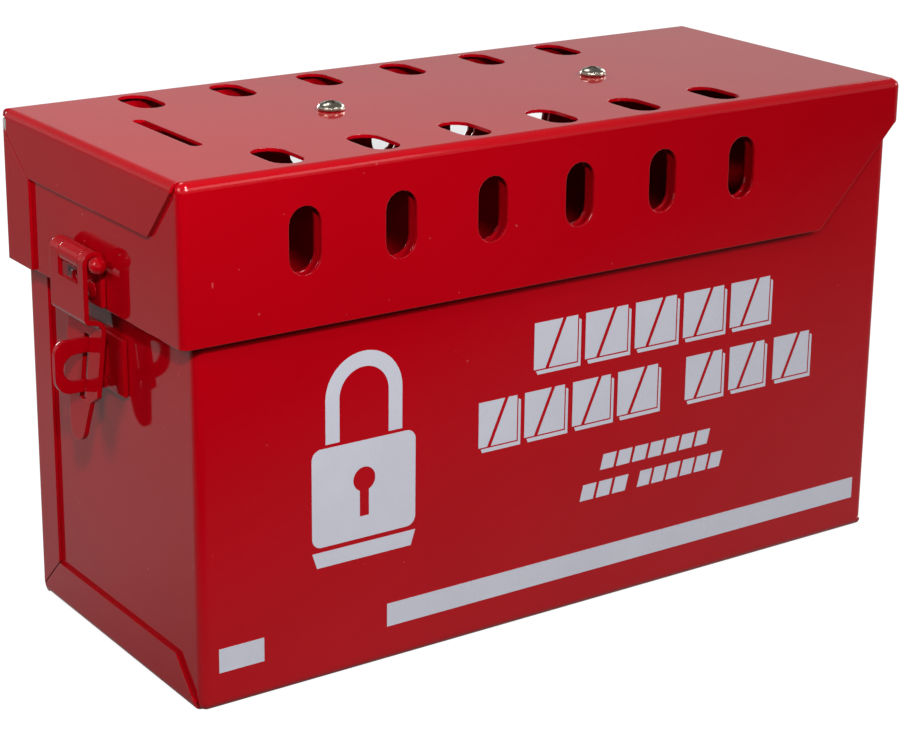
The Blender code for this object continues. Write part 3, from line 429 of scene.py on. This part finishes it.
def make_floor():
    mesh_data = bmesh.new()
    bmesh.ops.create_grid(mesh_data, x_segments=2, y_segments=2, size=FLOOR_HALF)
    mesh = bpy.data.meshes.new("floor")
    mesh_data.to_mesh(mesh)
    mesh_data.free()
    floor = bpy.data.objects.new("floor", mesh)
    bpy.context.scene.collection.objects.link(floor)

    material, tree, shader = new_material("floor_paper")
    shader.inputs["Roughness"].default_value = FLOOR_ROUGHNESS
    shader.inputs["Specular IOR Level"].default_value = FLOOR_GLOSS
    across = vector_math(tree, "DOT_PRODUCT", object_coordinates(tree), SHEET_ACROSS)
    away = vector_math(tree, "LENGTH", object_coordinates(tree))
    near_box = span(tree, away, (SHEET_NEAR, SHEET_FAR), (1.0, SHEET_FAR_SHARE))
    sheet = math_node(tree, "MULTIPLY", span(tree, across, (SHEET_STARTS, SHEET_FULL), SHARE), near_box)
    tree.links.new(math_node(tree, "MULTIPLY", sheet, SHEET_COLOUR), shader.inputs["Base Color"])

    shadow = node(
        tree,
        "ShaderNodeMapping",
        Vector=object_coordinates(tree),
        Location=SHADOW_PLACE,
        Rotation=SHADOW_TURN,
        Scale=SHADOW_SIZE,
    )
    shadow.vector_type = "TEXTURE"
    out_from_shadow = vector_math(tree, "LENGTH", shadow.outputs["Vector"])
    shade = span(tree, out_from_shadow, SHADOW_FADE, (SHADOW_DEPTH, 0.0))
    direct = math_node(tree, "SUBTRACT", span(tree, sheet, SHARE, (1.0, SHEET_GLOW)), shade)
    mirrored = math_node(tree, "MULTIPLY", sheet, SHEET_IN_GLOSS)

    glow = node(tree, "ShaderNodeEmission", Strength=shown(tree, direct, mirrored))
    both = tree.nodes.new("ShaderNodeAddShader")
    tree.links.new(shader.outputs["BSDF"], both.inputs[0])
    tree.links.new(glow.outputs["Emission"], both.inputs[1])
    output = next(found for found in tree.nodes if found.type == "OUTPUT_MATERIAL")
    tree.links.new(both.outputs["Shader"], output.inputs["Surface"])
    material.cycles.emission_sampling = "NONE"
    mesh.materials.append(material)


def make_world():
    world = bpy.data.worlds.new("studio")
    bpy.context.scene.world = world
    world.use_nodes = True
    tree = world.node_tree
    tree.nodes.clear()
    direction = tree.nodes.new("ShaderNodeTexCoord").outputs["Generated"]
    height = node(tree, "ShaderNodeSeparateXYZ", Vector=direction).outputs["Z"]
    mirrored = span(tree, height, (BACKDROP_TOP, ROOM_FROM), (BACKDROP_IN_GLOSS, ROOM_IN_GLOSS))
    strength = math_node(tree, "MAXIMUM", shown(tree, 1.0, mirrored), ROOM_LIGHT)
    background = node(tree, "ShaderNodeBackground", Color=(1.0, 1.0, 1.0, 1.0), Strength=strength)
    output = tree.nodes.new("ShaderNodeOutputWorld")
    tree.links.new(background.outputs["Background"], output.inputs["Surface"])


# lamps: name, place, target, width and height, power in watts and spread in degrees
MIDDLE = (0, 0, 75 * MM)
LAMPS = (
    ("key", (-0.37, -0.49, 0.47), (-0.17, -0.05, 0.22), (0.04, 0.03), 0.27, 52),
    ("high_key", (0.05, -0.35, 0.6), MIDDLE, (0.05, 0.04), 0.18, 180),
    ("edge_light", (0.45, -0.95, 0.73), MIDDLE, (0.35, 0.22), 0.42, 180),
    ("front_fill", (0.2, -1.0, 0.78), MIDDLE, (0.3, 0.3), 5.6, 180),
    ("right_front", (1.1, -0.5, 0.5), MIDDLE, (0.5, 0.5), 4.2, 180),
    ("end_fill", (-1.1, -0.2, 0.8), MIDDLE, (0.5, 0.5), 4.7, 180),
    ("back_fill", (0.1, 0.9, 1.4), MIDDLE, (0.5, 0.5), 3.2, 180),
    ("low_back_fill", (0.0, 1.6, 0.4), MIDDLE, (0.4, 0.4), 8, 180),
    ("right_fill", (1.6, 0.7, 0.7), MIDDLE, (0.7, 0.7), 8, 180),
)


def area_lamp(name, place, target, size, power, spread):
    data = bpy.data.lights.new(name, "AREA")
    data.spread = math.radians(spread)
    data.shape = "RECTANGLE"
    data.size, data.size_y = size
    data.energy = power
    lamp = bpy.data.objects.new(name, data)
    lamp.location = place
    lamp.rotation_mode = "QUATERNION"
    lamp.rotation_quaternion = (Vector(place) - Vector(target)).to_track_quat("Z", "Y")
    bpy.context.scene.collection.objects.link(lamp)


# camera, as it stood for the photograph
LENS, SENSOR_WIDTH = 93.694, 36.0
SHIFT_X, SHIFT_Y = -0.02906, -0.07596
NEAREST, FARTHEST = 0.01, 50
CAMERA_PLACE = (-0.39428, -0.56367, 0.29741)
CAMERA_RIGHT = (0.82032, -0.57175, 0.01314)
CAMERA_UP = (0.15882, 0.24982, 0.95518)
CAMERA_BACK = (-0.5494, -0.78147, 0.29574)


def make_camera():
    data = bpy.data.cameras.new("camera")
    data.lens = LENS
    data.sensor_width = SENSOR_WIDTH
    data.sensor_fit = "HORIZONTAL"
    data.shift_x = SHIFT_X
    data.shift_y = SHIFT_Y
    data.clip_start = NEAREST
    data.clip_end = FARTHEST
    camera = bpy.data.objects.new("camera", data)
    turn = Matrix((CAMERA_RIGHT, CAMERA_UP, CAMERA_BACK)).transposed()
    camera.matrix_world = Matrix.Translation(CAMERA_PLACE) @ turn.to_4x4()
    bpy.context.scene.collection.objects.link(camera)
    bpy.context.scene.camera = camera


bpy.context.scene.view_settings.view_transform = "Standard"
make_camera()
finish_nodes()
make_print(ink())
make_floor()
make_world()
for values in LAMPS:
    area_lamp(*values)
